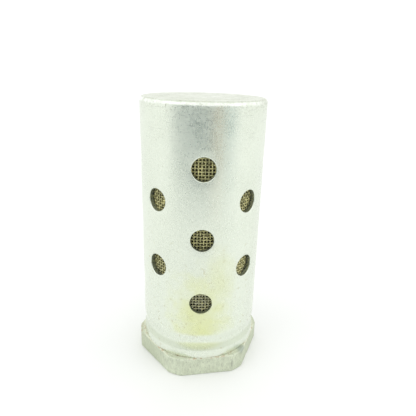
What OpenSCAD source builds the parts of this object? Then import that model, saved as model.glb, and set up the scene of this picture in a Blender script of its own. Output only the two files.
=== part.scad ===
// Pneumatic exhaust muffler. A cast hexagonal base with a female pipe port carries a
// drawn aluminium shell, which is rolled into a groove in the base. Between them stands
// a cartridge: a perforated tube wrapped in wire cloth, felt and two more screens.
// Millimetres, +Z up, origin at the centre of the base's underside.

/* [Shell] */
// Outside diameter of the shell
shell_d = 31.75; // [31.5:0.05:31.75]
// Height of the whole muffler
overall_h = 71.9; // [70:0.1:76]
// Wall thickness of the shell
shell_t = 1.3; // [1.2:0.05:1.4]
// Thickness of the shell's closed top
crown_t = 1.5; // [1.2:0.1:1.8]
// Radius of the shell's outer top edge
rim_r = 1; // [0.6:0.1:1.1]

/* [Exhaust holes] */
// Diameter of each exhaust hole
hole_d = 5.7; // [5:0.1:6.4]
// Height of the lowest row of holes
first_row_z = 22; // [21:0.1:23]
// Height from one row to the next
row_pitch = 8.74; // [8.4:0.02:9]
// Number of rows
row_count = 5; // [3:1:5]
// Number of columns round the shell, with holes in every second row of each
column_count = 8; // [6:2:8]

/* [Rolled groove] */
// Depth of the groove rolled into the shell
groove_depth = 0.3; // [0.2:0.05:0.5]
// Height of the groove's lower edge
groove_z0 = 7.4; // [7.2:0.1:7.6]
// Lowest height of the groove's floor
groove_z1 = 9; // [8.4:0.1:9.2]
// Highest height of the groove's floor
groove_z2 = 10.2; // [9.8:0.1:10.4]
// Height of the groove's upper edge
groove_z3 = 12.4; // [12:0.1:12.8]

/* [Hexagonal base] */
// Width of the hexagon across its flats
hex_af = 31.75; // [31.6:0.05:32]
// Thickness of the hexagon
hex_t = 5.3; // [5:0.1:5.6]
// Diameter to which the hexagon's corners are turned
hex_corner_d = 34.7; // [34:0.1:35.6]
// Turn of the hexagon from the front column of holes
hex_turn = 7.5; // [0:0.5:15]

/* [Inlet port] */
// Diameter over the crests of the port's thread, for a 1/2-14 NPT pipe
port_d = 18.26; // [18:0.02:18.6]
// Depth of the port
port_depth = 12.3; // [12:0.1:12.4]
// Diameter of the port's countersunk mouth
mouth_d = 21.4; // [21:0.1:22]

/* [Cartridge] */
// Outside diameter of the perforated tube
tube_d = 16; // [15.6:0.1:16.2]
// Wall thickness of the perforated tube and of its plug
tube_t = 0.8; // [0.7:0.05:1]
// Diameter of the holes in the perforated tube
perforation_d = 3.2; // [2.4:0.1:3.6]
// Number of rows of holes in the perforated tube
perforation_rows = 8; // [4:1:8]
// Thickness of the two pressed steel end pieces
plate_t = 0.8; // [0.6:0.1:0.9]
// Thickness of the core screen, two wires deep
core_screen_t = 0.6; // [0.4:0.05:0.65]
// Thickness of the support screen, two wires deep
support_screen_t = 0.65; // [0.5:0.05:0.7]
// Thickness of the outer screen, two wires deep
outer_screen_t = 0.7; // [0.6:0.05:0.75]
// Thickness of the felt pad under the shell's top
pad_t = 2.5; // [2:0.1:3]

/* [Hidden] */
$fn = 96;

gap = 0.05;                            // working clearance between fitted pieces
cut = 1;                               // how far a cutting tool runs past what it cuts

shell_r = shell_d / 2;
shell_bore_r = shell_r - shell_t;
crown_z = overall_h - crown_t;         // underside of the shell's top
lip_r = 0.2;                           // rounding of the shell's lower edge
crown_fillet_r = 0.8;                  // rounding inside the shell's top corner
front_deg = -90;                       // direction of the front column of holes

spigot_r = shell_bore_r - gap;
spigot_top_z = 13.5;                   // shoulder that carries the gasket
neck_r = 10;
gasket_t = 0.8;
cartridge_z0 = spigot_top_z + gasket_t + plate_t;  // where the wraps begin
neck_top_z = cartridge_z0;
spigot_edge = 0.4;                     // chamfer on the spigot's shoulder
hex_edge = 0.5;                        // chamfer on the turned corners
throat_r = tube_d / 2 - tube_t;
tube_seat_z = port_depth + 0.6;
seat_clearance = 0.02;                 // radial clearance of the tube in its seat

plate_z = crown_z - pad_t - plate_t;   // underside of the upper end plate
cartridge_h = plate_z - cartridge_z0;
plate_r = shell_bore_r - 2 * gap;
plug_depth = 5.2;
dimple_depth = 2.5;
first_perforation_z = 19;
last_perforation_z = plate_z - plug_depth - 3.4;
perforations_per_row = 8;
collar_gap = 0.2;                      // how far the ring's collar stays off the shoulder

core_r0 = tube_d / 2 + gap;
felt_r0 = core_r0 + core_screen_t + gap;
outer_r0 = spigot_r - outer_screen_t;
support_r0 = outer_r0 - gap - support_screen_t;
felt_r1 = support_r0 - gap;

// 0 below a, 1 above b, and between them a straight ramp with a rounded foot and head
ease = 0.2;                            // share of the ramp that each rounding takes
function ramp(u) = u <= 0 ? 0 : u >= 1 ? 1 : u < ease ? u * u / (2 * ease * (1 - ease))
    : u > 1 - ease ? 1 - (1 - u) * (1 - u) / (2 * ease * (1 - ease)) : (u - ease / 2) / (1 - ease);
function blend(v, a, b) = ramp((v - a) / (b - a));

// Depth of the rolled groove at height z
function groove(z) = groove_depth * (blend(z, groove_z0, groove_z1) - blend(z, groove_z2, groove_z3));

// Heights at which the groove's flanks and ends are drawn, from the bottom up
flank_steps = 10;
groove_levels = concat([for (i = [0:flank_steps]) groove_z0 + (groove_z1 - groove_z0) * i / flank_steps],
                       [for (i = [0:flank_steps]) groove_z2 + (groove_z3 - groove_z2) * i / flank_steps]);

// An arc from angle a0 to a1 round c
function arc(c, r, a0, a1, steps = 8) =
    [for (i = [0:steps]) let (a = a0 + (a1 - a0) * i / steps) [c[0] + r * cos(a), c[1] + r * sin(a)]];

// A list of points in the opposite order
function backwards(points) = [for (i = [len(points) - 1:-1:0]) points[i]];

// A round tube standing on height z
module ring(r_in, r_out, z, h) {
    translate([0, 0, z])
        difference() {
            cylinder(r = r_out, h = h);
            translate([0, 0, -cut]) cylinder(r = r_in, h = h + 2 * cut);
        }
}

// A hole drilled outwards from the axis through one wall
module radial_hole(angle, z, d, r_from, r_to) {
    rotate([0, 0, angle])
        translate([r_from, 0, z])
            rotate([0, 90, 0]) cylinder(d = d, h = r_to - r_from);
}

// The hexagon's blank: a disc that turns its corners and breaks their edges
module corner_turning() {
    r = hex_corner_d / 2;
    rotate_extrude()
        polygon([[0, 0], [r - hex_edge, 0], [r, hex_edge], [r, hex_t - hex_edge],
                 [r - hex_edge, hex_t], [0, hex_t]]);
}

// The round spigot over the hexagon, with the groove that the shell is rolled into
module spigot() {
    rotate_extrude()
        polygon(concat([[0, hex_t - cut], [spigot_r, hex_t - cut]],
                       [for (z = groove_levels) [spigot_r - groove(z), z]],
                       [[spigot_r, spigot_top_z - spigot_edge], [spigot_r - spigot_edge, spigot_top_z],
                        [neck_r, spigot_top_z], [neck_r, neck_top_z], [0, neck_top_z]]));
}

// The port, the throat above it and the seat of the perforated tube
module passage() {
    mouth_depth = (mouth_d - port_d) / 2;
    translate([0, 0, -cut]) cylinder(d = port_d, h = port_depth + cut);
    rotate_extrude()
        polygon([[0, -cut], [mouth_d / 2 + cut, -cut], [port_d / 2, mouth_depth], [0, mouth_depth]]);
    cylinder(r = throat_r, h = tube_seat_z + cut);
    translate([0, 0, tube_seat_z]) cylinder(r = tube_d / 2 + seat_clearance, h = neck_top_z);
}

module hex_base() {
    color("darkseagreen")
        difference() {
            union() {
                intersection() {
                    rotate([0, 0, hex_turn]) cylinder(d = hex_af / cos(30), h = hex_t, $fn = 6);
                    corner_turning();
                }
                spigot();
            }
            passage();
        }
}

// Wall and top of the shell, before its holes are cut
module shell_blank() {
    outside = concat(arc([shell_r - lip_r, hex_t + lip_r], lip_r, -90, 0),
                     [for (z = groove_levels) [shell_r - groove(z), z]],
                     arc([shell_r - rim_r, overall_h - rim_r], rim_r, 0, 90),
                     [[0, overall_h]]);
    inside = concat([[shell_bore_r, hex_t]],
                    [for (z = groove_levels) [shell_bore_r - groove(z), z]],
                    arc([shell_bore_r - crown_fillet_r, crown_z - crown_fillet_r], crown_fillet_r, 0, 90),
                    [[0, crown_z]]);
    rotate_extrude() polygon(concat(outside, backwards(inside)));
}

module body_shell() {
    color("gainsboro")
        difference() {
            shell_blank();
            for (column = [0:column_count - 1])
                for (row = [column % 2:2:row_count - 1])
                    radial_hole(front_deg + 360 * column / column_count, first_row_z + row_pitch * row,
                                hole_d, shell_bore_r - 3, shell_r + cut);
        }
}

module base_gasket() {
    color("dimgray") ring(neck_r + plate_t + 2 * gap, plate_r - gap, spigot_top_z, gasket_t);
}

// A washer under the wraps, with a collar turned down round the base's neck
module lower_end_ring() {
    color("silver") {
        ring(neck_r + gap, plate_r, spigot_top_z + gasket_t, plate_t);
        ring(neck_r + gap, neck_r + gap + plate_t, spigot_top_z + collar_gap, gasket_t + plate_t - collar_gap);
    }
}

module diffuser_tube() {
    color("lightslategray")
        difference() {
            ring(throat_r, tube_d / 2, tube_seat_z, plate_z - tube_seat_z);
            for (row = [0:perforation_rows - 1])
                for (i = [0:perforations_per_row - 1])
                    radial_hole((i + (row % 2) / 2) * 360 / perforations_per_row,
                                first_perforation_z + row * (last_perforation_z - first_perforation_z)
                                / (perforation_rows - 1),
                                perforation_d, throat_r - 3, tube_d / 2 + cut);
        }
}

// A drawn cup, open upwards, pressed into the top of the perforated tube
module diffuser_plug() {
    plug_r = throat_r - seat_clearance;
    color("slategray")
        difference() {
            translate([0, 0, plate_z - plug_depth]) cylinder(r = plug_r, h = plug_depth);
            translate([0, 0, plate_z - plug_depth + tube_t]) cylinder(r = plug_r - tube_t, h = plug_depth);
        }
}

module core_screen() {
    color("goldenrod") ring(core_r0, core_r0 + core_screen_t, cartridge_z0, cartridge_h);
}

module felt_sleeve() {
    color("beige") ring(felt_r0, felt_r1, cartridge_z0, cartridge_h);
}

module support_screen() {
    color("darkkhaki") ring(support_r0, support_r0 + support_screen_t, cartridge_z0, cartridge_h);
}

module outer_screen() {
    color("olive") ring(outer_r0, spigot_r, cartridge_z0, cartridge_h);
}

// A disc over the wraps, with a dimple pressed down into the plug to centre the tube
module upper_end_plate() {
    dimple_r = throat_r - seat_clearance - tube_t - 2 * gap;
    color("silver")
        difference() {
            union() {
                translate([0, 0, plate_z]) cylinder(r = plate_r, h = plate_t);
                translate([0, 0, plate_z - dimple_depth]) cylinder(r = dimple_r, h = dimple_depth + plate_t);
            }
            translate([0, 0, plate_z - dimple_depth + plate_t])
                cylinder(r = dimple_r - plate_t, h = dimple_depth + cut);
        }
}

module top_pad() {
    color("linen")
        translate([0, 0, plate_z + plate_t])
            cylinder(r = shell_bore_r - crown_fillet_r - gap, h = pad_t);
}

hex_base();
body_shell();
base_gasket();
lower_end_ring();
diffuser_tube();
diffuser_plug();
core_screen();
felt_sleeve();
support_screen();
outer_screen();
upper_end_plate();
top_pad();
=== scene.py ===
"""Looks of the pneumatic muffler: shell, base and wire cloth as detailed meshes, in the CAD frame."""

import math

import bpy
import numpy as np
from mathutils import Matrix, Vector, noise


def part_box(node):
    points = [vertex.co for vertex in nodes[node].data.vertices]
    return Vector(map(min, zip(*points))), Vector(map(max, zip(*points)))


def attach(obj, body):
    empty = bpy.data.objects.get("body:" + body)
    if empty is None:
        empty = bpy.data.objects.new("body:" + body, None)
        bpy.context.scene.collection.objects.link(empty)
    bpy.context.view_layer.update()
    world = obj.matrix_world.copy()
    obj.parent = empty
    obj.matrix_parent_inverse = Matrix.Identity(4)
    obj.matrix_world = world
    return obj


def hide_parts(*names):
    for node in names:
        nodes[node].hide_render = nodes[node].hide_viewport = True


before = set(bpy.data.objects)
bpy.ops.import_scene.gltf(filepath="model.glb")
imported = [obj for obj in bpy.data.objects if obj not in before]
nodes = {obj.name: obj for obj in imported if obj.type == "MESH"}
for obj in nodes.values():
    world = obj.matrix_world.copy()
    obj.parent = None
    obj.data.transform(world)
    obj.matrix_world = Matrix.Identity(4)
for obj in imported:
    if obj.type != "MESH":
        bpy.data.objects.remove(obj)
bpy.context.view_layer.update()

MM = 0.001


def span(node):
    """Lowest and highest corner of a CAD node, in millimetres."""
    low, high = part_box(node)
    return low / MM, high / MM


# ---------------------------------------------------------------- sizes, in millimetres and degrees

shell_low, shell_high = span("body_shell")
base_low, base_high = span("hex_base")
screen_low, screen_high = span("outer_screen")
support_high = span("support_screen")[1]
core_high = span("core_screen")[1]

SHELL_R = shell_high.x                 # outside radius of the shell
TOP_Z = shell_high.z                   # top of the muffler
HEX_T = shell_low.z                    # thickness of the hexagon, where the shell begins
WALL = 1.3                             # thickness of the shell's wall
CROWN = 1.5                            # thickness of its top
CROWN_FILLET = 0.8                     # rounding inside its top corner
RIM_R = 1.0                            # rounding of its top edge
LIP_R = 0.2                            # rounding of its lower edge
GROOVE_DEPTH = 0.3                     # depth of the rolled groove
GROOVE_Z = (7.4, 9.0, 10.2, 12.4)      # its lower edge, the two ends of its floor, its upper edge
EASE = 0.2                             # share of the groove's slopes that each rounding takes

HOLE_R = 2.85                          # radius of the exhaust holes
FIRST_ROW = 22.0                       # height of their lowest row
ROW_PITCH = 8.74                       # height from one row to the next
ROWS = 5
COLUMNS = 8                            # columns of holes, each with holes in every second row
FRONT = -90                            # direction of the front column

HEX_AF = 31.75                         # across the hexagon's flats
HEX_TURN = 7.5                         # its turn from the front column of holes
HEX_EDGE = 0.35                        # rounding of its upper and lower edges
CORNER_R = 17.35                       # radius to which its corners are turned
SPIGOT_R = SHELL_R - WALL - 0.05       # spigot inside the shell, with its working clearance
SPIGOT_TOP = 13.5
SPIGOT_EDGE = 0.4                      # chamfer on the spigot's shoulder
NECK_R = 10.0                          # neck over the spigot
NECK_TOP = base_high.z
SEAT_R = 8.02                          # seat of the perforated tube
SEAT_Z = 12.9
THROAT_R = 7.2                         # passage from the port into the tube
MOUTH_R = 10.7                         # countersunk mouth of the port
CREST_R = 9.13                         # crests of the pipe thread
THREAD_PITCH = 25.4 / 14
THREAD_LOW = 0.9                       # where the thread begins, above the countersink
THREAD_TOP = 12.3                      # depth of the port

CELL = 24                              # steps along each side of the mesh round a hole


# ---------------------------------------------------------------- meshes

def polar(radius, angle, z):
    """Points at that radius, angle in radians and height, as an array of triples."""
    radius, angle, z = np.broadcast_arrays(radius, angle, z)
    return np.stack([radius * np.cos(angle), radius * np.sin(angle), z], -1)


class Sheets:
    """Collects grids of points as quads, and welds them where their points coincide."""

    def __init__(self):
        self.points = []
        self.quads = []
        self.count = 0

    def add(self, grid, flip=False):
        """A grid of points: its rows run up or outwards, and its columns anticlockwise."""
        rows, cols = grid.shape[:2]
        index = np.arange(rows * cols).reshape(rows, cols) + self.count
        quads = np.stack([index[:-1, :-1], index[:-1, 1:], index[1:, 1:], index[1:, :-1]], -1).reshape(-1, 4)
        self.points.append(grid.reshape(-1, 3))
        self.quads.append(quads[:, ::-1] if flip else quads)
        self.count += rows * cols

    def welded(self):
        """Points and faces, with coincident points joined and collapsed faces left out."""
        points = np.concatenate(self.points)
        quads = np.concatenate(self.quads)
        keys = np.round(points * 1e4).astype(np.int64)
        _, first, inverse = np.unique(keys, axis=0, return_index=True, return_inverse=True)
        faces = []
        for quad in inverse.reshape(-1)[quads]:
            corners = [int(v) for k, v in enumerate(quad) if v != quad[k - 1]]
            if len(set(corners)) > 2:
                faces.append(corners)
        return points[first], faces


def make_object(name, points, faces, material, sharp_deg=None):
    """A smooth-shaded object from points in millimetres. Edges over sharp_deg stay crisp."""
    mesh = bpy.data.meshes.new(name)
    mesh.from_pydata((np.asarray(points) * MM).tolist(), [], faces)
    mesh.update()
    mesh.shade_smooth()
    if sharp_deg:
        mesh.set_sharp_from_angle(angle=math.radians(sharp_deg))
    mesh.materials.append(material)
    obj = bpy.data.objects.new(name, mesh)
    bpy.context.scene.collection.objects.link(obj)
    return obj


def install(obj, node):
    """The piece rides on the muffler's one body, and takes a CAD node's place if one is named."""
    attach(obj, "root")
    if node:
        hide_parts(node)


def ripple(points, size, seed):
    """Smooth noise between about -1 and 1 at each point, with features of that size."""
    shift = Vector((seed * 7.3, seed * 3.1, seed * 5.7))
    return np.array([noise.noise(Vector(p) / size + shift) for p in points])


def ramp(value, low, high):
    """0 below low and 1 above high, with a straight slope between that is rounded at both ends."""
    u = np.clip((value - low) / (high - low), 0, 1)
    foot = u * u / (2 * EASE * (1 - EASE))
    head = 1 - (1 - u) ** 2 / (2 * EASE * (1 - EASE))
    return np.where(u < EASE, foot, np.where(u > 1 - EASE, head, (u - EASE / 2) / (1 - EASE)))


def groove(z):
    """Depth of the rolled groove at height z."""
    a, b, c, d = GROOVE_Z
    return GROOVE_DEPTH * (ramp(z, a, b) - ramp(z, c, d))


def arc(centre, radius, start, end, steps):
    """Points along an arc in the radius and height plane."""
    angles = np.radians(np.linspace(start, end, steps + 1))
    return [(centre[0] + radius * math.cos(a), centre[1] + radius * math.sin(a)) for a in angles]


def lathe(sheets, profile, angles):
    """Turns a profile of (radius, height) points through the angles."""
    profile = np.array(profile)
    sheets.add(polar(profile[:, :1], angles[None, :], profile[:, 1:]))


# ---------------------------------------------------------------- the shell

def hole_cell(sheets, column_angle, z_mid):
    """The wall round one exhaust hole: its outside, the hole's rounded edge and bore, and its inside."""
    side = np.linspace(-1, 1, CELL + 1)[:-1]
    half_w = math.radians(180 / COLUMNS) * SHELL_R
    across = np.concatenate([side, np.ones(CELL), -side, -np.ones(CELL)])
    up = np.concatenate([-np.ones(CELL), side, np.ones(CELL), -side])
    around = np.arctan2(up * ROW_PITCH, across * half_w)

    # each ring: share of the way from the hole to the cell's border, distance out from the hole, depth
    shares = [1, 0.82, 0.66, 0.52, 0.40, 0.30, 0.21, 0.14, 0.09, 0.05, 0.025]
    rings = [(s, 0.2, 0) for s in shares]
    rings += [(0, 0.2, 0), (0, 0.13, 0.02), (0, 0.07, 0.06), (0, 0.02, 0.13), (0, 0, 0.22)]
    rings += [(0, 0, 0.5), (0, 0, 0.8), (0, 0, WALL - 0.1), (0, 0.03, WALL - 0.03), (0, 0.1, WALL)]
    rings += [(s, 0.1, WALL) for s in (0.1, 0.3, 0.6, 1)]

    grid = []
    for share, out, depth in rings:
        x = (HOLE_R + out) * np.cos(around)
        z = (HOLE_R + out) * np.sin(around)
        dish = 0.07 * math.exp(-((share * 4 + out) / 0.8) ** 2)   # the punch drew the edge in
        radius = SHELL_R - depth - (dish if depth < WALL else 0)
        angle = (1 - share) * np.arcsin(x / radius) + share * across * half_w / SHELL_R
        height = (1 - share) * z + share * up * ROW_PITCH
        ring = polar(radius, column_angle + angle, z_mid + height)
        grid.append(np.concatenate([ring, ring[:1]]))
    sheets.add(np.array(grid))


def top_marks(points):
    """Depth of the wear on the top: shallow dings, and a ring of plain punch strokes with no lettering."""
    radius = np.hypot(points[:, 0], points[:, 1])
    angle = np.arctan2(points[:, 1], points[:, 0])
    dings = np.clip(ripple(points, 1.6, 4) - 0.25, 0, 1) * 0.16
    ring = np.exp(-((radius - 10.2) / 1.3) ** 2)
    strokes = ring * np.clip(np.sin(angle * 34) - 0.35, 0, 1) * 0.12
    return (dings + strokes) * (radius < SHELL_R - RIM_R - 0.5)


def body_shell(material):
    """The drawn shell: a grooved skirt, cells of wall with and without a hole, and the closed top."""
    sheets = Sheets()
    turn = np.radians(np.linspace(0, 360, COLUMNS * CELL + 1) + FRONT - 180 / COLUMNS)
    band_low = FIRST_ROW - ROW_PITCH
    band_high = FIRST_ROW + ROW_PITCH * ROWS
    bore_r = SHELL_R - WALL

    above = [GROOVE_Z[3] + 0.5, band_low]
    levels = np.concatenate([np.linspace(*GROOVE_Z[:2], 13), np.linspace(*GROOVE_Z[2:], 17), above])
    inside = [(bore_r - groove(z), z) for z in levels[::-1]] + [(bore_r, HEX_T)]
    outside = arc((SHELL_R - LIP_R, HEX_T + LIP_R), LIP_R, -90, 0, 6)
    outside += [(SHELL_R, GROOVE_Z[0] - below) for below in (1.2, 0.8, 0.4)]
    outside += [(SHELL_R - groove(z), z) for z in levels]
    lathe(sheets, inside + [(SHELL_R - 1.0, HEX_T)] + outside, turn)

    crown = [(SHELL_R, z) for z in np.linspace(band_high, TOP_Z - RIM_R, 6)]
    crown += arc((SHELL_R - RIM_R, TOP_Z - RIM_R), RIM_R, 0, 90, 10)[1:]
    crown += [(r, TOP_Z) for r in np.linspace(SHELL_R - RIM_R, 0, 46)[1:]]
    crown += [(r, TOP_Z - CROWN) for r in np.linspace(0, bore_r - CROWN_FILLET, 6)]
    crown += arc((bore_r - CROWN_FILLET, TOP_Z - CROWN - CROWN_FILLET), CROWN_FILLET, 90, 0, 4)[1:]
    crown += [(bore_r, band_high)]
    lathe(sheets, crown, turn)

    half = math.pi / COLUMNS
    for column in range(COLUMNS):
        middle = math.radians(FRONT + 360 * column / COLUMNS)
        for row in range(column % 2, ROWS, 2):
            hole_cell(sheets, middle, FIRST_ROW + ROW_PITCH * row)
        if column % 2:
            across = np.linspace(middle - half, middle + half, CELL + 1)[None, :]
            for low in (band_low, band_high - ROW_PITCH):
                up = np.linspace(low, low + ROW_PITCH, CELL // 2 + 1)[:, None]
                sheets.add(polar(SHELL_R, across, up))
                sheets.add(polar(bore_r, across, up), flip=True)

    # the wall isn't quite round, and the top carries its marks
    points, faces = sheets.welded()
    radius = np.hypot(points[:, 0], points[:, 1])
    outer = np.clip((radius - SHELL_R + WALL) / WALL, 0, 1)
    warp = 0.035 * ripple(points, 14, 1) + 0.012 * ripple(points, 3.5, 2)
    shrink = 1 + warp * outer / np.maximum(radius, 1)
    points[:, 0] *= shrink
    points[:, 1] *= shrink
    top = points[:, 2] > TOP_Z - 0.01
    points[top, 2] -= top_marks(points[top])
    obj = make_object("drawn_shell", points, faces, material, sharp_deg=40)
    install(obj, "body_shell")


# ---------------------------------------------------------------- the base

def hexagon_radius(angle):
    """Distance from the axis to the hexagon's side, its corners turned off, at each angle in radians."""
    from_flat = np.radians((np.degrees(angle) - FRONT - HEX_TURN + 30) % 60 - 30)
    return np.minimum(HEX_AF / 2 / np.cos(from_flat), CORNER_R)


def hexagon_angles():
    """Angles round the base, with steps at each flat's ends so that its corners are crisp."""
    half_flat = math.degrees(math.acos(HEX_AF / 2 / CORNER_R))
    angles = []
    for side in range(6):
        middle = FRONT + HEX_TURN + 60 * side
        angles += list(middle + np.linspace(-half_flat, half_flat, 37)[:-1])
        angles += list(middle + np.linspace(half_flat, 60 - half_flat, 9)[:-1])
    return np.radians(np.array(angles + [angles[0] + 360]))


def thread_radius(turns, z):
    """Wall of the tapered thread: turns is the height in pitches above the groove's middle."""
    root = CREST_R + 1.47 - z / 32
    off = np.abs(turns - np.round(turns)) * THREAD_PITCH
    return np.clip(root - math.sqrt(3) * np.maximum(off - 0.05, 0), CREST_R, root)


def threaded_wall(sheets, angles, z_low, z_high):
    """The port's wall. Its rows climb with the helix, and are cut off at the wall's two ends."""
    steps = (0.03, 0.18, 0.32, 0.46, 0.54, 0.68, 0.82, 0.97)
    count = int((z_high - z_low) / THREAD_PITCH) + 3
    turns = np.array([k + s for k in range(-1, count) for s in steps])
    climb = (angles - angles[0]) / (2 * math.pi)
    z = np.clip(z_low + (turns[:, None] + climb[None, :]) * THREAD_PITCH, z_low, z_high)
    radius = thread_radius((z - z_low) / THREAD_PITCH - climb[None, :], z)
    sheets.add(polar(radius, angles[None, :], z), flip=True)
    ends = [thread_radius((end - z_low) / THREAD_PITCH - climb, np.full_like(climb, end))
            for end in (z_low, z_high)]
    return ends


def hex_base(material):
    """The cast base: the thread, and rings from its lower end round the outside to its upper end."""
    sheets = Sheets()
    angles = hexagon_angles()
    hexagon = hexagon_radius(angles)
    low_end, high_end = threaded_wall(sheets, angles, THREAD_LOW, THREAD_TOP)

    def ring(radius, z):
        return polar(radius, angles, z)

    # from the port's mouth outwards: countersink, underside, hexagon, spigot, neck, seat and throat
    underside_r = MOUTH_R + 0.08
    flat_r = hexagon - HEX_EDGE
    rings = [ring(low_end, THREAD_LOW), ring(np.maximum(low_end, MOUTH_R - 0.5), 0.5), ring(MOUTH_R, 0.06)]
    rings += [ring(underside_r, 0)]
    for share in np.linspace(0, 1, 13)[1:]:
        rings.append(ring(underside_r * (1 - share) + flat_r * share, 0))
    for a in np.radians(np.linspace(0, 90, 7))[1:]:
        rings.append(ring(hexagon - HEX_EDGE * (1 - math.sin(a)), HEX_EDGE * (1 - math.cos(a))))
    for z in np.linspace(HEX_EDGE, HEX_T - HEX_EDGE, 13)[1:]:
        rings.append(ring(hexagon, z))
    for a in np.radians(np.linspace(0, 90, 7))[1:]:
        rings.append(ring(hexagon - HEX_EDGE * (1 - math.cos(a)), HEX_T - HEX_EDGE * (1 - math.sin(a))))
    for share in np.linspace(0, 1, 5)[1:]:
        rings.append(ring(flat_r * (1 - share) + SPIGOT_R * share, HEX_T))
    for z in np.concatenate([np.linspace(*GROOVE_Z[:2], 5), np.linspace(*GROOVE_Z[2:], 5)]):
        rings.append(ring(SPIGOT_R - groove(z), z))
    rings += [ring(SPIGOT_R, SPIGOT_TOP - SPIGOT_EDGE), ring(SPIGOT_R - SPIGOT_EDGE, SPIGOT_TOP)]
    rings += [ring(NECK_R, SPIGOT_TOP)]
    rings += [ring(NECK_R, NECK_TOP), ring(SEAT_R, NECK_TOP), ring(SEAT_R, SEAT_Z), ring(THROAT_R, SEAT_Z)]
    rings += [ring(THROAT_R, THREAD_TOP), ring(high_end, THREAD_TOP)]
    sheets.add(np.array(rings))

    # the cast skin of the hexagon is a little uneven
    points, faces = sheets.welded()
    radius = np.hypot(points[:, 0], points[:, 1])
    cast = (radius > MOUTH_R + 1) & (points[:, 2] < HEX_T + 0.01)
    rough = 0.05 * ripple(points, 2.6, 5) + 0.03 * ripple(points, 0.9, 6)
    points[:, :2] *= (1 + cast * (rough - 0.05) / np.maximum(radius, 1))[:, None]
    upper_face = cast & (points[:, 2] > HEX_T - 0.2)
    points[upper_face, 2] += 0.3 * rough[upper_face]
    obj = make_object("cast_base", points, faces, material, sharp_deg=20)
    install(obj, "hex_base")


# ---------------------------------------------------------------- the wire cloth

def wires(name, paths, closed, wire_r, material, node=None, sides=5):
    """Round wires along many paths at once. paths is an array of wires by points by xyz."""
    count, steps = paths.shape[:2]
    if closed:
        ahead = np.roll(paths, -1, axis=1) - np.roll(paths, 1, axis=1)
    else:
        ahead = np.gradient(paths, axis=1)
    ahead /= np.linalg.norm(ahead, axis=-1, keepdims=True)
    out = paths * [1, 1, 0]
    out -= (out * ahead).sum(-1, keepdims=True) * ahead
    out /= np.linalg.norm(out, axis=-1, keepdims=True)
    aside = np.cross(ahead, out)
    turn = np.linspace(0, 2 * math.pi, sides, endpoint=False)
    points = (paths[:, :, None] + wire_r * (np.cos(turn)[:, None] * out[:, :, None]
                                            + np.sin(turn)[:, None] * aside[:, :, None]))
    index = np.arange(count * steps * sides).reshape(count, steps, sides)
    nearer = index if closed else index[:, :-1]
    further = np.roll(index, -1, axis=1) if closed else index[:, 1:]
    quads = np.stack([nearer, further, np.roll(further, -1, 2), np.roll(nearer, -1, 2)], -1)
    faces = quads.reshape(-1, 4).tolist()
    if not closed:
        faces += index[:, 0, :].tolist() + index[:, -1, ::-1].tolist()
    obj = make_object(name, points.reshape(-1, 3), faces, material)
    install(obj, node)


def wire_cloth(name, node, outer_r, wire_r, pitch, material):
    """A sleeve of plain weave: upright wires, and rings that pass in front of and behind them in turn."""
    low, high = screen_low.z, screen_high.z
    middle = outer_r - 2 * wire_r
    around = 2 * round(math.pi * middle / pitch)
    up = int((high - low) / pitch)
    first = low + (high - low - (up - 1) * pitch) / 2

    ring = np.arange(up)[:, None]
    step = np.arange(2 * around)[None, :]
    radius = middle + wire_r * np.cos(math.pi * (step / 2 + ring))
    height = first + ring * pitch + 0 * step
    wires(name + "_rings", polar(radius, math.pi * step / around, height), True, wire_r, material, node)

    wire = np.arange(around)[:, None]
    step = np.arange(-1, 2 * up)[None, :]
    radius = middle - wire_r * np.cos(math.pi * (step / 2 + wire))
    height = np.clip(first + step * pitch / 2, low, high) + 0 * wire
    upright = polar(radius, 2 * math.pi * wire / around, height)
    wires(name + "_uprights", upright, False, wire_r, material)


# ---------------------------------------------------------------- materials

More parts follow.
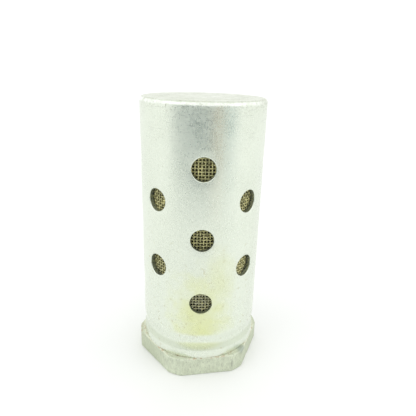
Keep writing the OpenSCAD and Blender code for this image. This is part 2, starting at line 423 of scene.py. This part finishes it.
class Shader:
    """A few short calls for building a material's nodes. Object coordinates are in millimetres."""

    def __init__(self, name, **constants):
        self.material = bpy.data.materials.new(name)
        self.material.use_nodes = True
        self.tree = self.material.node_tree
        self.surface = self.tree.nodes["Principled BSDF"]
        for socket, value in constants.items():
            self.surface.inputs[socket.replace("_", " ")].default_value = value
        coordinates = self.tree.nodes.new("ShaderNodeTexCoord")
        self.place = self.mapped(coordinates.outputs["Object"], (1 / MM,) * 3)

    def node(self, kind, inputs=(), **settings):
        made = self.tree.nodes.new(kind)
        for key, value in settings.items():
            setattr(made, key, value)
        for socket, value in dict(inputs).items():
            self.feed(made.inputs[socket], value)
        return made

    def feed(self, socket, value):
        if isinstance(value, bpy.types.NodeSocket):
            self.tree.links.new(value, socket)
        else:
            socket.default_value = value

    def mapped(self, vector, scale=(1, 1, 1), move=(0, 0, 0), turn=0):
        """The vector scaled, then turned about Z by that many degrees, then moved."""
        inputs = {"Vector": vector, "Scale": scale, "Location": move, "Rotation": (0, 0, math.radians(turn))}
        return self.node("ShaderNodeMapping", inputs).outputs[0]

    def noise(self, size, detail=3.0, stretch=(1, 1, 1), move=(0, 0, 0), rough=0.55, turn=0):
        """Noise between 0 and 1 with features of that size in millimetres, stretched along turned axes."""
        scale = tuple(1 / (size * s) for s in stretch)
        vector = self.mapped(self.mapped(self.place, turn=turn), scale, move)
        made = self.node("ShaderNodeTexNoise", {"Vector": vector, "Scale": 1.0, "Detail": detail,
                                                "Roughness": rough})
        return made.outputs["Fac"]

    def math(self, operation, *values):
        return self.node("ShaderNodeMath", dict(enumerate(values)), operation=operation).outputs[0]

    def times(self, mask, other):
        """Two masks at once, or one mask made weaker by a number."""
        return self.math("MULTIPLY", mask, other)

    def between(self, value, low, high, to_low=0.0, to_high=1.0):
        """value mapped from low..high to to_low..to_high, smoothly and without passing either end."""
        made = self.node("ShaderNodeMapRange", {0: value, 1: low, 2: high, 3: to_low, 4: to_high},
                         interpolation_type="SMOOTHSTEP")
        return made.outputs[0]

    def mix(self, share, first, second):
        made = self.node("ShaderNodeMix", {0: share, 6: first, 7: second}, data_type="RGBA")
        return made.outputs[2]

    def bump(self, height, distance, strength=1.0, normal=None):
        inputs = {"Height": height, "Distance": distance * MM, "Strength": strength}
        if normal is not None:
            inputs["Normal"] = normal
        return self.node("ShaderNodeBump", inputs).outputs[0]

    def height(self):
        return self.node("ShaderNodeSeparateXYZ", {0: self.place}).outputs[2]

    def radius(self):
        flat = self.node("ShaderNodeVectorMath", {0: self.place, 1: (1, 1, 0)}, operation="MULTIPLY")
        return self.node("ShaderNodeVectorMath", {0: flat.outputs[0]}, operation="LENGTH").outputs["Value"]

    def distance(self, point, stretch=(1, 1, 1)):
        """Distance from a point in millimetres, with each axis divided by its stretch."""
        off = self.node("ShaderNodeVectorMath", {0: self.place, 1: point}, operation="SUBTRACT")
        scaled = self.node("ShaderNodeVectorMath", {0: off.outputs[0], 1: tuple(1 / s for s in stretch)},
                           operation="MULTIPLY")
        return self.node("ShaderNodeVectorMath", {0: scaled.outputs[0]}, operation="LENGTH").outputs["Value"]

    def set(self, socket, value):
        self.feed(self.surface.inputs[socket], value)


def colour(red, green, blue):
    return (red, green, blue, 1.0)


def shell_material():
    """Drawn aluminium gone dull, with the marks of age and handling, and painted light and shade, laid over
    it one after another.
    """
    s = Shader("shell_aluminium", Metallic=0.9)
    grain = s.noise(0.35, 4, stretch=(1, 1, 2.5))
    speckle = s.noise(0.42, 5, rough=0.75)
    cloud = s.noise(11, 3)
    base = s.mix(s.between(cloud, 0.3, 0.7), colour(0.735, 0.785, 0.68), colour(0.78, 0.83, 0.725))
    # painted light: the shell is lighter towards the bottom
    base = s.mix(s.between(s.height(), 34, 14, 0, 0.7), base, colour(0.795, 0.845, 0.74))
    upwards = s.between(s.height(), 12, 34, 0.35, 1)      # the speckle is fainter low on the shell
    base = s.mix(s.times(upwards, s.between(speckle, 0.3, 0.55, 0.22, 0)), base, colour(0.50, 0.53, 0.46))
    for add_marks in (shell_painted_light_and_smudges, shell_specks, shell_scratches, shell_rim, shell_top, shell_grime_and_shade):
        base = add_marks(s, base)
    s.set("Base Color", base)
    s.set("Roughness", s.between(s.math("ADD", s.times(grain, 0.6), s.times(cloud, 0.4)),
                                 0.3, 0.7, 0.22, 0.38))
    fine = s.bump(grain, 0.008)
    s.set("Normal", s.bump(speckle, 0.034, upwards, normal=fine))
    return s.material


def shell_painted_light_and_smudges(s, base):
    """Painted reflection in yellow on the front, over the groove and on its floor, painted shade on the
    groove's lower flank, and brown smudges.
    """
    ragged = s.times(s.between(s.noise(3.5, 4, move=(2, 2, 2)), 0.3, 0.7), 0.35)
    above = s.math("ADD", s.distance((0, -SHELL_R, 16), (9.5, 9.5, 17)), ragged)
    shoulder = s.between(s.height(), GROOVE_Z[3] - 0.5, GROOVE_Z[3] + 0.8)
    aside = s.math("ADD", s.distance((5, -SHELL_R, 27), (5.5, 5.5, 12)), ragged)
    upper = s.math("MAXIMUM", s.between(above, 0.1, 1.4, 0.78, 0), s.between(aside, 0.1, 1.4, 0.42, 0))
    upper = s.times(upper, shoulder)
    floor = s.between(s.distance((0, -SHELL_R, 9.0), (6.5, 6.5, 1.3)), 0.4, 1.2, 0.55, 0)
    # painted reflection: yellow on the front above the groove and on the groove's floor
    base = s.mix(s.math("MAXIMUM", upper, floor), base, colour(0.70, 0.74, 0.34))
    # painted shade: the groove's lower flank is darker
    flank = s.times(s.between(s.height(), GROOVE_Z[0] - 0.1, GROOVE_Z[0] + 0.5, 0, 0.42),
                    s.between(s.height(), GROOVE_Z[1] + 1.2, GROOVE_Z[1] - 0.3))
    base = s.mix(flank, base, colour(0.52, 0.58, 0.42))
    smudge = s.times(s.between(s.noise(1.1, 4, move=(6, 3, 8)), 0.60, 0.72, 0, 0.45),
                     s.between(s.height(), 48, 30))
    return s.mix(smudge, base, colour(0.50, 0.47, 0.28))


def shell_specks(s, base):
    """Small dark specks, thickest in the mottled band under the rim, where the drawing tool rubbed."""
    specks = s.times(s.between(s.noise(0.45, 3, move=(5, 2, 9)), 0.60, 0.68),
                     s.between(s.noise(5, 2, move=(1, 8, 3)), 0.45, 0.60))
    near_rim = s.between(s.height(), TOP_Z - 3.5, TOP_Z - 1.2, 0.15, 0.9)
    base = s.mix(s.times(specks, near_rim), base, colour(0.20, 0.19, 0.12))
    mottle = s.times(s.between(s.height(), TOP_Z - 4.2, TOP_Z - 1.2),
                     s.between(s.noise(0.6, 4, stretch=(1, 1, 0.6), move=(2, 6, 7)), 0.52, 0.68, 0, 0.38))
    return s.mix(mottle, base, colour(0.40, 0.42, 0.32))


def shell_scratches(s, base):
    """Level scratches high on the shell, and one hooked scratch on the front."""
    level = s.between(s.noise(0.22, 3, stretch=(20, 20, 1), move=(3, 3, 8)), 0.58, 0.68, 0, 0.4)
    high = s.between(s.height(), TOP_Z - 12, TOP_Z - 5)
    base = s.mix(s.times(level, high), base, colour(0.42, 0.45, 0.40))
    off = s.math("ABSOLUTE", s.math("SUBTRACT", s.distance((0.6, -SHELL_R, 67.4), (1.0, 1.0, 0.7)), 0.95))
    hook = s.times(s.between(off, 0.06, 0.16, 0.5, 0),
                   s.between(s.distance((1.3, -SHELL_R, 68.0)), 0.9, 1.5, 1, 0))
    return s.mix(hook, base, colour(0.36, 0.38, 0.36))


def shell_rim(s, base):
    """The rim: a painted highlight in places, scuffed and dirty in others, and painted shade on the right."""
    zone = s.times(s.between(s.height(), TOP_Z - 1.25, TOP_Z - 0.85),
                   s.between(s.radius(), SHELL_R - RIM_R - 0.4, SHELL_R - RIM_R + 0.15))
    painted_highlight = s.between(s.noise(1.3, 5, move=(9, 1, 6), rough=0.7), 0.36, 0.60, 0, 0.85)
    # painted highlight: the rim is lighter in places
    base = s.mix(s.times(painted_highlight, zone), base, colour(0.88, 0.915, 0.86))
    scuff = s.between(s.noise(0.9, 4, stretch=(1.6, 1.6, 1), move=(4, 7, 2), rough=0.65), 0.54, 0.68, 0, 0.45)
    # painted shade: the rim darkens towards the right, on top of the scuffs
    right = s.between(s.distance((SHELL_R, -3, TOP_Z)), 9, 4, 0, 0.5)
    scuffs_and_shade = s.times(s.math("MAXIMUM", scuff, right), zone)
    return s.mix(scuffs_and_shade, base, colour(0.44, 0.48, 0.36))


def shell_top(s, base):
    """The top: painted shade that darkens it all over, handled patches, green-grey and bright, under fine
    scratches that cross each other.
    """
    top = s.between(s.height(), TOP_Z - 0.35, TOP_Z - 0.12)
    handled_patches_and_shade = s.between(s.noise(3.4, 6, move=(3, 9, 4), rough=0.8), 0.34, 0.66, 0.3, 1.0)
    # painted shade: the whole top is mixed at least 0.3 toward the darker tone, and handled patches vary it
    base = s.mix(s.times(handled_patches_and_shade, top), base, colour(0.55, 0.595, 0.465))
    for turn in (12, -38, 71, 154):
        scratch = s.noise(0.16, 3, stretch=(16, 1, 1), move=(turn, 2, 5), rough=0.6, turn=turn)
        scratch = s.times(s.between(scratch, 0.58, 0.66, 0, 0.55), top)
        base = s.mix(scratch, base, colour(0.36, 0.39, 0.31))
    worn = s.times(s.between(s.noise(0.5, 3, move=(8, 4, 4)), 0.62, 0.70, 0, 0.7), top)
    return s.mix(worn, base, colour(0.28, 0.30, 0.20))


def shell_grime_and_shade(s, base):
    """Grime along the lower edge, and painted shade in the holes' bores."""
    foot = s.times(s.between(s.height(), HEX_T + 0.9, HEX_T, 0, 0.40),
                   s.between(s.noise(0.7, 3, move=(3, 3, 3)), 0.44, 0.62, 0.25, 1))
    base = s.mix(foot, base, colour(0.50, 0.46, 0.32))
    # painted shade: the holes' bores are darker
    band = s.times(s.between(s.height(), 15, 17), s.between(s.height(), 65, 63))
    bore = s.times(band, s.between(s.radius(), SHELL_R - 0.15, SHELL_R - 0.4, 0, 0.8))
    return s.mix(bore, base, colour(0.30, 0.34, 0.34))


def base_material():
    """Dull die casting: grey-green skin with fine upright grain, pits, and thin brown stains at the joint."""
    s = Shader("base_casting", Metallic=0.75)
    skin = s.noise(0.9, 5, stretch=(1, 1, 2.2), rough=0.7)
    pits = s.noise(0.30, 4, stretch=(1, 1, 2), move=(4, 1, 2))
    base = s.mix(s.between(skin, 0.3, 0.7), colour(0.545, 0.59, 0.46), colour(0.74, 0.79, 0.64))
    # darker away from the middle of the front flat
    away_from_front = s.between(s.distance((0, -HEX_AF / 2, HEX_T / 2)), 8, 15, 0, 0.45)
    base = s.mix(away_from_front, base, colour(0.50, 0.55, 0.40))
    base = s.mix(s.between(pits, 0.28, 0.46, 0.55, 0), base, colour(0.30, 0.31, 0.24))

    # the upper face beside the shell: painted light that lifts the shade there, with brown dashes along the
    # joint
    near_shell = s.times(s.between(s.radius(), SHELL_R + 1.1, SHELL_R + 0.1),
                         s.between(s.radius(), SHELL_R - 1.2, SHELL_R - 0.8))
    joint = s.times(near_shell, s.between(s.height(), HEX_T - 0.5, HEX_T - 0.1))
    # painted light: the upper face beside the shell is lighter, against the shade there
    base = s.mix(s.times(joint, 0.5), base, colour(0.86, 0.88, 0.74))
    dashes = s.between(s.noise(0.6, 3, stretch=(1.6, 1, 1), move=(7, 7, 1)), 0.52, 0.62, 0, 0.65)
    base = s.mix(s.times(joint, dashes), base, colour(0.46, 0.34, 0.19))

    # a grey patch of painted shadow and a dark line along the crease at the front right corner, and rust at
    # the left one
    # painted shadow: a grey patch where the upper face meets the shell at the front right corner
    shadow_patch = s.between(s.distance((11.9, -11.9, HEX_T), (2.2, 2.2, 1.2)), 0.3, 1.0, 0.6, 0)
    base = s.mix(shadow_patch, base, colour(0.34, 0.40, 0.36))
    corner = math.radians(FRONT + HEX_TURN) + math.acos(HEX_AF / 2 / CORNER_R)
    edge = (CORNER_R * math.cos(corner), CORNER_R * math.sin(corner), HEX_T / 2)
    # a dark line along the crease where the front right flat meets its turned corner
    crease_line = s.times(s.between(s.distance(edge, (1, 1, 9)), 0.10, 0.36, 0.65, 0),
                   s.between(s.noise(1.2, 2, move=(6, 6, 2)), 0.30, 0.50, 0.4, 1))
    base = s.mix(crease_line, base, colour(0.30, 0.31, 0.26))
    rust = s.times(s.between(s.distance((-17, -3, HEX_T - 0.5), (1.2, 4, 1.8)), 0.3, 1.1, 1, 0), dashes)
    base = s.mix(rust, base, colour(0.48, 0.38, 0.24))
    s.set("Base Color", base)
    s.set("Roughness", s.between(skin, 0.3, 0.7, 0.45, 0.65))
    rough = s.bump(skin, 0.05)
    s.set("Normal", s.bump(pits, 0.04, normal=rough))
    return s.material


def wire_material(name, bright, dark):
    """Tarnished wire: metal that has darkened in patches, with dirt between."""
    s = Shader(name, Metallic=0.85)
    patches = s.noise(1.8, 4)
    base = s.mix(s.between(patches, 0.35, 0.65), dark, bright)
    dirt = s.between(s.noise(0.5, 3, move=(2, 6, 4)), 0.3, 0.5, 0.6, 0)
    base = s.mix(dirt, base, colour(0.06, 0.055, 0.035))
    dust = s.times(s.between(s.height(), 32, 24),
                   s.between(s.noise(0.7, 4, move=(1, 3, 5)), 0.35, 0.6, 0.2, 0.8))
    s.set("Base Color", s.mix(dust, base, colour(0.56, 0.56, 0.41)))
    s.set("Roughness", s.between(patches, 0.3, 0.7, 0.38, 0.58))
    return s.material


def felt_material():
    """Dense wool felt, nearly black."""
    s = Shader("felt", Roughness=0.95, Sheen_Weight=0.3)
    fibres = s.noise(0.5, 6, stretch=(1, 1, 2.5), rough=0.7)
    base = s.mix(s.between(fibres, 0.3, 0.7), colour(0.05, 0.045, 0.03), colour(0.16, 0.14, 0.10))
    s.set("Base Color", base)
    s.set("Normal", s.bump(fibres, 0.3))
    return s.material


def steel_material():
    """Zinc-plated sheet steel with a faint spangle."""
    s = Shader("plated_steel", Metallic=0.95)
    spangle = s.noise(1.6, 2)
    base = s.mix(s.between(spangle, 0.35, 0.65), colour(0.46, 0.47, 0.46), colour(0.62, 0.62, 0.60))
    s.set("Base Color", base)
    s.set("Roughness", s.between(spangle, 0.3, 0.7, 0.30, 0.48))
    s.set("Normal", s.bump(s.noise(0.3, 3), 0.01))
    return s.material


def rubber_material():
    """Matt black nitrile rubber with a moulded grain."""
    s = Shader("gasket_rubber", Roughness=0.7)
    grain = s.noise(0.4, 3)
    s.set("Base Color", s.mix(grain, colour(0.02, 0.02, 0.02), colour(0.06, 0.06, 0.058)))
    s.set("Normal", s.bump(grain, 0.03))
    return s.material


# ---------------------------------------------------------------- camera, floor and light

def add_camera():
    """Stands in front of the muffler and looks down on it."""
    yaw, pitch, roll = (math.radians(a) for a in (2.48, 19.54, -1.67))
    ahead = Vector((math.sin(yaw) * math.cos(pitch), math.cos(yaw) * math.cos(pitch), -math.sin(pitch)))
    right = Vector((math.cos(yaw), -math.sin(yaw), 0))
    down = ahead.cross(right)
    across = math.cos(roll) * right + math.sin(roll) * down
    up = math.sin(roll) * right - math.cos(roll) * down
    data = bpy.data.cameras.new("camera")
    data.lens = 34.42                      # together with the sensor's width, the photo's field of view
    data.sensor_width = 36
    data.clip_start = 0.005
    data.clip_end = 50
    camera = bpy.data.objects.new("camera", data)
    place = Matrix((across, up, -ahead)).transposed().to_4x4()
    place.translation = Vector((-2.60, -102.64, 78.82)) * MM
    camera.matrix_world = place
    bpy.context.scene.collection.objects.link(camera)
    bpy.context.scene.camera = camera


def add_floor():
    """A pale floor that runs out of sight."""
    s = Shader("pale_floor", Roughness=0.6)
    s.set("Base Color", s.mix(s.between(s.noise(60, 2), 0.3, 0.7), colour(0.845, 0.855, 0.845),
                              colour(0.875, 0.885, 0.875)))
    half = 4000
    drop = -0.02                           # keeps it clear of the base's underside
    points = [(-half, -half, drop), (half, -half, drop), (half, half, drop), (-half, half, drop)]
    floor = make_object("floor", points, [(0, 1, 2, 3)], s.material)


def add_light(name, place, size, power):
    """A soft square light at a place in millimetres, aimed at the muffler's middle."""
    data = bpy.data.lights.new(name, "AREA")
    data.shape = "SQUARE"
    data.size = size * MM
    data.energy = power
    light = bpy.data.objects.new(name, data)
    light.location = Vector(place) * MM
    aim = Vector((0, 0, TOP_Z / 2)) * MM - light.location
    light.rotation_euler = aim.to_track_quat("-Z", "Y").to_euler()
    bpy.context.scene.collection.objects.link(light)


def add_card(name, across, top, depth, emission):
    """An upright card in front of the muffler, seen only in its reflections, as a dim room would be."""
    s = Shader(name, Roughness=1.0, Emission_Color=emission, Emission_Strength=1.0)
    s.set("Base Color", colour(0, 0, 0))
    left, right = across
    points = [(left, depth, 1), (right, depth, 1), (right, depth, top), (left, depth, top)]
    card = make_object(name, points, [(0, 1, 2, 3)], s.material)
    card.visible_camera = False
    card.visible_diffuse = False
    card.visible_shadow = False


def add_world():
    """An even white studio."""
    world = bpy.data.worlds.new("studio")
    world.use_nodes = True
    world.node_tree.nodes["Background"].inputs["Color"].default_value = (1.0, 1.0, 1.0, 1)
    world.node_tree.nodes["Background"].inputs["Strength"].default_value = 1.2
    bpy.context.scene.world = world
    bpy.context.scene.view_settings.view_transform = "Standard"


add_camera()
add_world()
add_floor()
add_card("dim_card", across=(-300, 300), top=85, depth=-215, emission=colour(0.26, 0.31, 0.325))
add_card("warm_card", across=(70, 135), top=78, depth=-210, emission=colour(0.62, 0.50, 0.38))
add_card("blue_card", across=(135, 300), top=82, depth=-210, emission=colour(0.46, 0.58, 0.62))
add_light("left_softbox", place=(-420, -260, 420), size=300, power=0.20)
add_light("right_softbox", place=(420, -160, 380), size=300, power=0.15)

aluminium = shell_material()
casting = base_material()
brass = wire_material("brass_wire", colour(0.80, 0.765, 0.41), colour(0.44, 0.43, 0.23))
# painted shade: the inner screens' wire is darker than the outer cloth's, for the shade inside the shell
shaded_wire = wire_material("screen_wire", colour(0.42, 0.40, 0.21), colour(0.18, 0.17, 0.09))
felt = felt_material()
steel = steel_material()
rubber = rubber_material()

body_shell(aluminium)
hex_base(casting)
wire_cloth("outer_cloth", "outer_screen", screen_high.x,
           wire_r=0.175, pitch=0.81, material=brass)
wire_cloth("support_cloth", "support_screen", support_high.x,
           wire_r=0.1625, pitch=1.05, material=shaded_wire)
wire_cloth("core_cloth", "core_screen", core_high.x,
           wire_r=0.15, pitch=0.75, material=shaded_wire)

CAD_MATERIALS = {
    "felt_sleeve": felt, "top_pad": felt, "base_gasket": rubber, "lower_end_ring": steel,
    "upper_end_plate": steel, "diffuser_tube": steel, "diffuser_plug": steel,
}
for node, material in CAD_MATERIALS.items():
    mesh = nodes[node].data
    mesh.materials.clear()
    mesh.materials.append(material)
